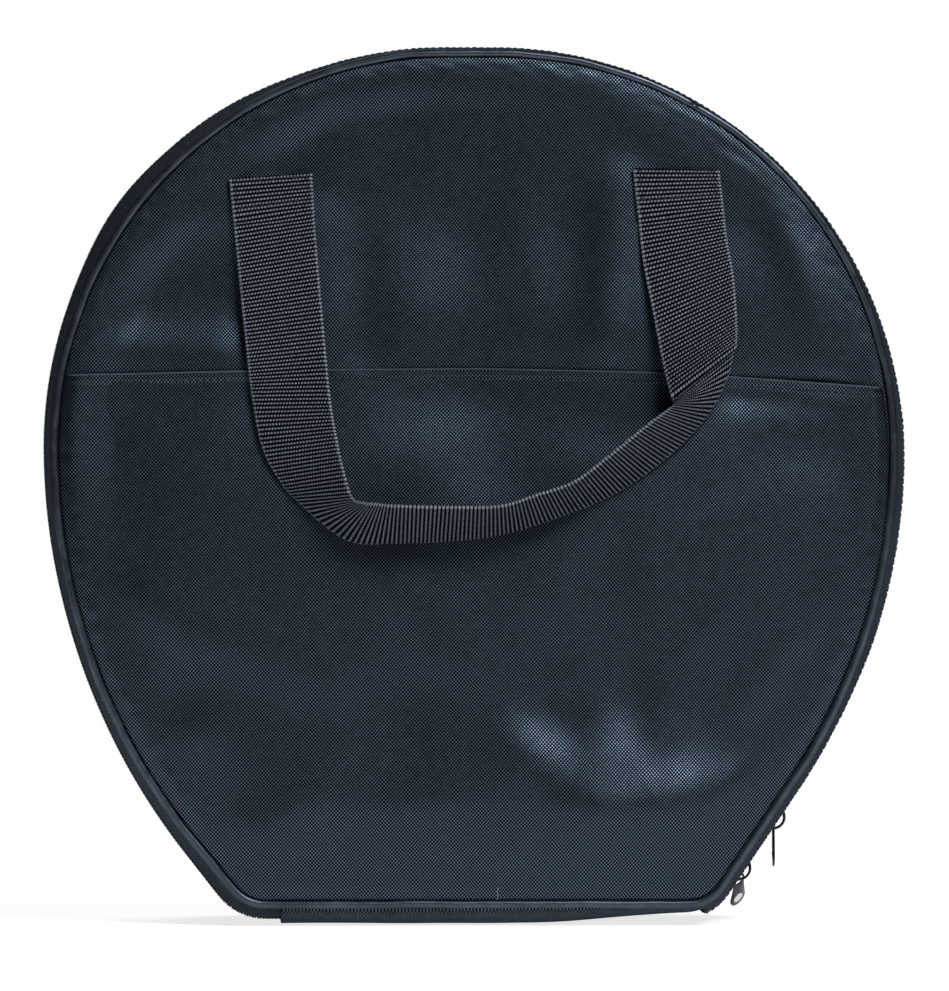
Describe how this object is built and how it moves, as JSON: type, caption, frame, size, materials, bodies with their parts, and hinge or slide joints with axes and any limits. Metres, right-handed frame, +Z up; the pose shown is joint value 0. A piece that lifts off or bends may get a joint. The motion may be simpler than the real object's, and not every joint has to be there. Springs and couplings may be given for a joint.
{
  "type": "snare drum bag",
  "caption": "Soft padded bag for a snare drum: round-topped panels with a flat base, a zip round the sides and top, a slip pocket and a webbing handle on each face.",
  "frame": {"origin": "middle of the flat base, on the ground that the bag stands on", "axes": "+Z up; the front face with the pocket looks along -Y; +X is to the right as the front is seen, where the zip sliders are parked"},
  "size_m": [0.394, 0.232, 0.399],
  "materials": {
    "woven_nylon": "close plain weave, blue-black, soft sheen",
    "foam_padding": "thin foam lining, matt dark grey",
    "vinyl_piping": "smooth vinyl over a cord, soft gloss",
    "webbing": "ribbed flat webbing, dark grey",
    "zip_tape": "knitted tape, matt black",
    "zip_teeth": "nylon coil, black",
    "black_nickel": "dark polished plating"
  },
  "bodies": {
    "back_half": {"back_panel": "woven_nylon", "back_padding": "foam_padding", "back_piping": "vinyl_piping", "back_side_gusset": "woven_nylon", "back_base_gusset": "woven_nylon", "back_zip_tape": "zip_tape", "back_zip_teeth": "zip_teeth", "back_handle_left_end": "webbing", "back_handle_right_end": "webbing"},
    "front_half": {"front_panel": "woven_nylon", "front_padding": "foam_padding", "front_piping": "vinyl_piping", "front_side_gusset": "woven_nylon", "front_base_gusset": "woven_nylon", "front_zip_tape": "zip_tape", "front_zip_teeth": "zip_teeth", "front_handle_left_end": "webbing", "front_handle_right_end": "webbing", "front_pocket": "woven_nylon"},
    "front_handle": {"front_handle_loop": "webbing"},
    "back_handle": {"back_handle_loop": "webbing"},
    "upper_slider": {"upper_zip_slider": "black_nickel"},
    "upper_pull": {"upper_zip_pull": "black_nickel"},
    "lower_slider": {"lower_zip_slider": "black_nickel"},
    "lower_pull": {"lower_zip_pull": "black_nickel"}
  },
  "joints": [
    {"name": "base_hinge", "type": "hinge", "parent": "back_half", "child": "front_half", "pos_m": [0, 0, 0], "axis": [1, 0, 0], "range_deg": [0, 170]},
    {"name": "front_handle_swing", "type": "hinge", "parent": "front_half", "child": "front_handle", "pos_m": [0, -0.0769, 0.313], "axis": [-1, 0, 0], "range_deg": [0, 135]},
    {"name": "back_handle_swing", "type": "hinge", "parent": "back_half", "child": "back_handle", "pos_m": [0, 0.0769, 0.313], "axis": [1, 0, 0], "range_deg": [0, 135]},
    {"name": "upper_slider_run", "type": "slide", "parent": "back_half", "child": "upper_slider", "axis": [0.5591, 0, 0.8291], "range_m": [0, 0.025]},
    {"name": "lower_slider_run", "type": "slide", "parent": "back_half", "child": "lower_slider", "axis": [0.5591, 0, 0.8291], "range_m": [0, 0.012]},
    {"name": "upper_pull_swing", "type": "hinge", "parent": "upper_slider", "child": "upper_pull", "pos_m": [0.13884, 0, 0.04185], "axis": [0, -1, 0], "range_deg": [-8, 130]},
    {"name": "lower_pull_swing", "type": "hinge", "parent": "lower_slider", "child": "lower_pull", "pos_m": [0.12318, 0, 0.01864], "axis": [0, -1, 0], "range_deg": [0, 85]}
  ]
}
